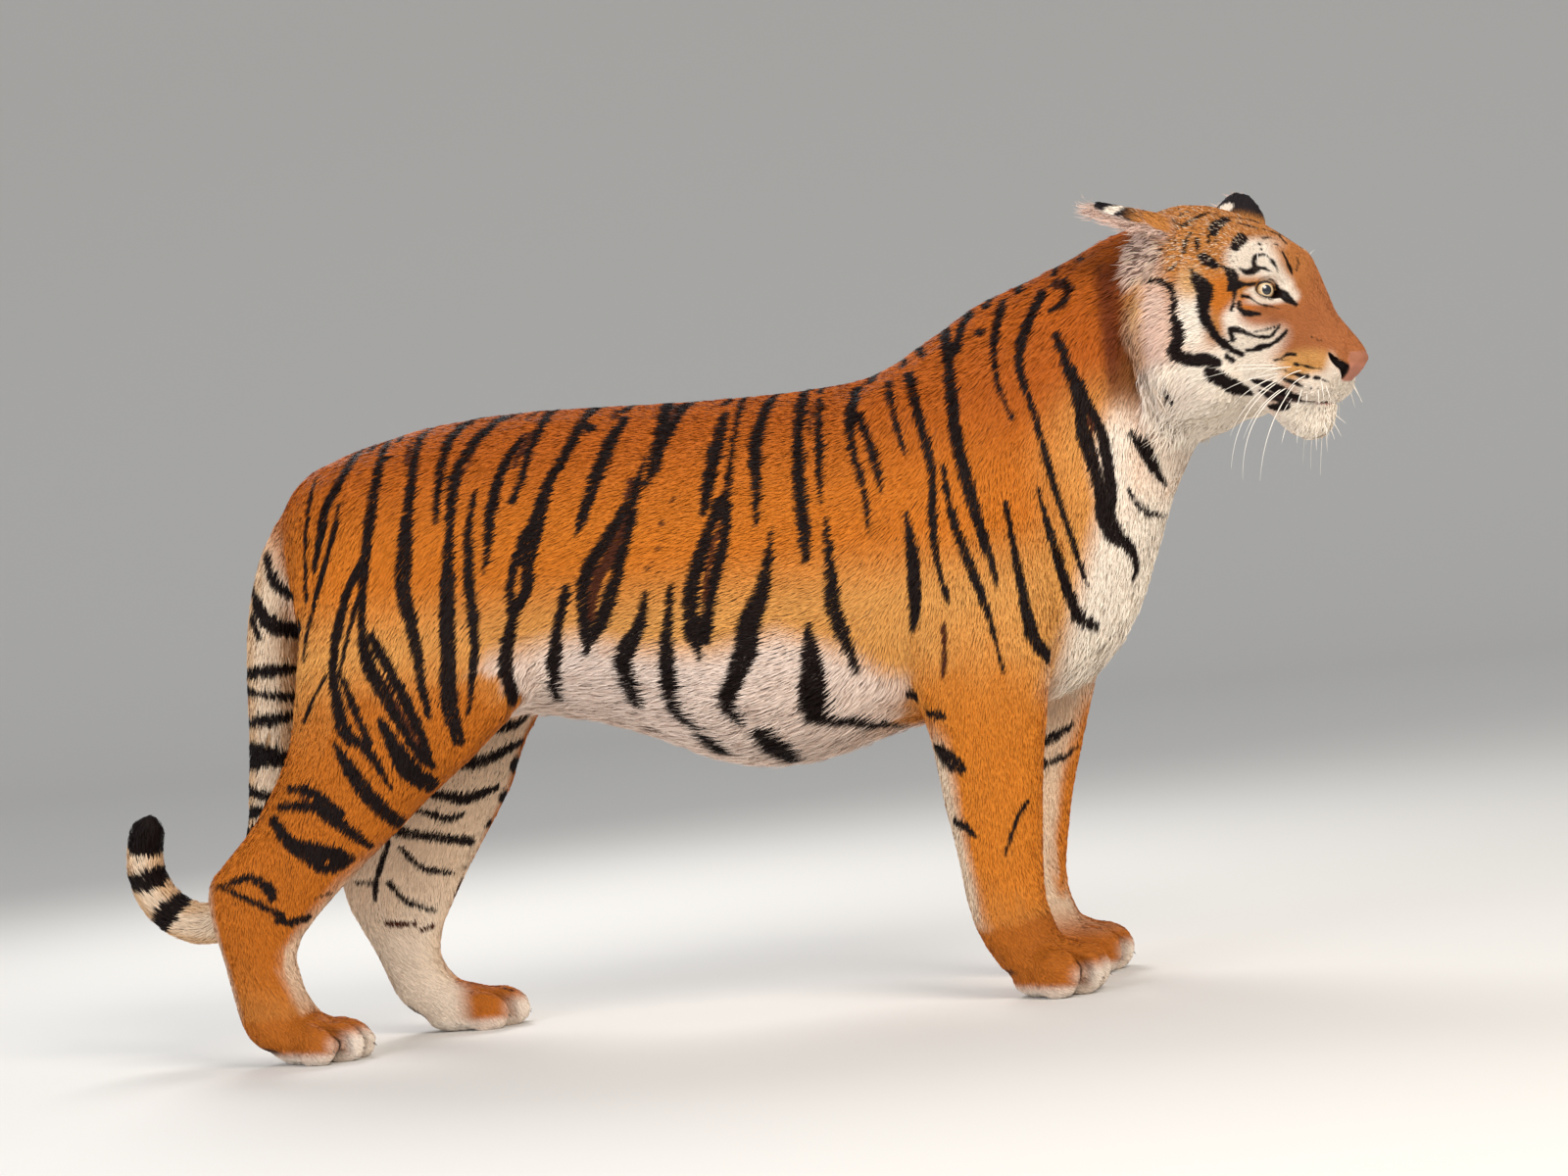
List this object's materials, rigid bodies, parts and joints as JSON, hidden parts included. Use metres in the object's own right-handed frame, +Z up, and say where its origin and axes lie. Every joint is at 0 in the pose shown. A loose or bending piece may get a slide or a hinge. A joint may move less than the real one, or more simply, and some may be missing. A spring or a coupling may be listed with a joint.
{
  "type": "bengal tiger",
  "caption": "Life-size standing Bengal tiger in mid-stride, head turned to its right, with a striped orange coat, white underside and a long ringed tail.",
  "frame": {"origin": "centre of the bounding box's foot, on the floor under the belly", "axes": "+X towards the head, +Y towards the animal's left side, +Z up"},
  "size_m": [2.012, 0.4164, 1.1812],
  "materials": {
    "coat_orange": "short dense fur, orange with black stripes, white underneath",
    "coat_white": "fur, cream with dark rings",
    "coat_dark": "fur, brown-black with a pale spot or ring",
    "eye_amber": "wet gloss, amber iris with a round pupil",
    "nose_leather": "bare moist skin of nose, lips and lids",
    "whisker_horn": "stiff white whisker"
  },
  "bodies": {
    "root": {"ear_left": "coat_dark", "ear_right": "coat_dark", "eye_left": "eye_amber", "eye_right": "eye_amber", "foreleg_left": "coat_orange", "foreleg_right": "coat_orange", "forepaw_left": "coat_orange", "forepaw_right": "coat_orange", "head": "coat_orange", "hindpaw_left": "coat_orange", "hindpaw_right": "coat_orange", "metatarsus_left": "coat_orange", "metatarsus_right": "coat_orange", "neck": "coat_orange", "shank_left": "coat_orange", "shank_right": "coat_orange", "tail_base": "coat_orange", "tail_middle": "coat_white", "tail_tip": "coat_dark", "thigh_left": "coat_orange", "thigh_right": "coat_orange", "trunk": "coat_orange"}
  },
  "joints": []
}
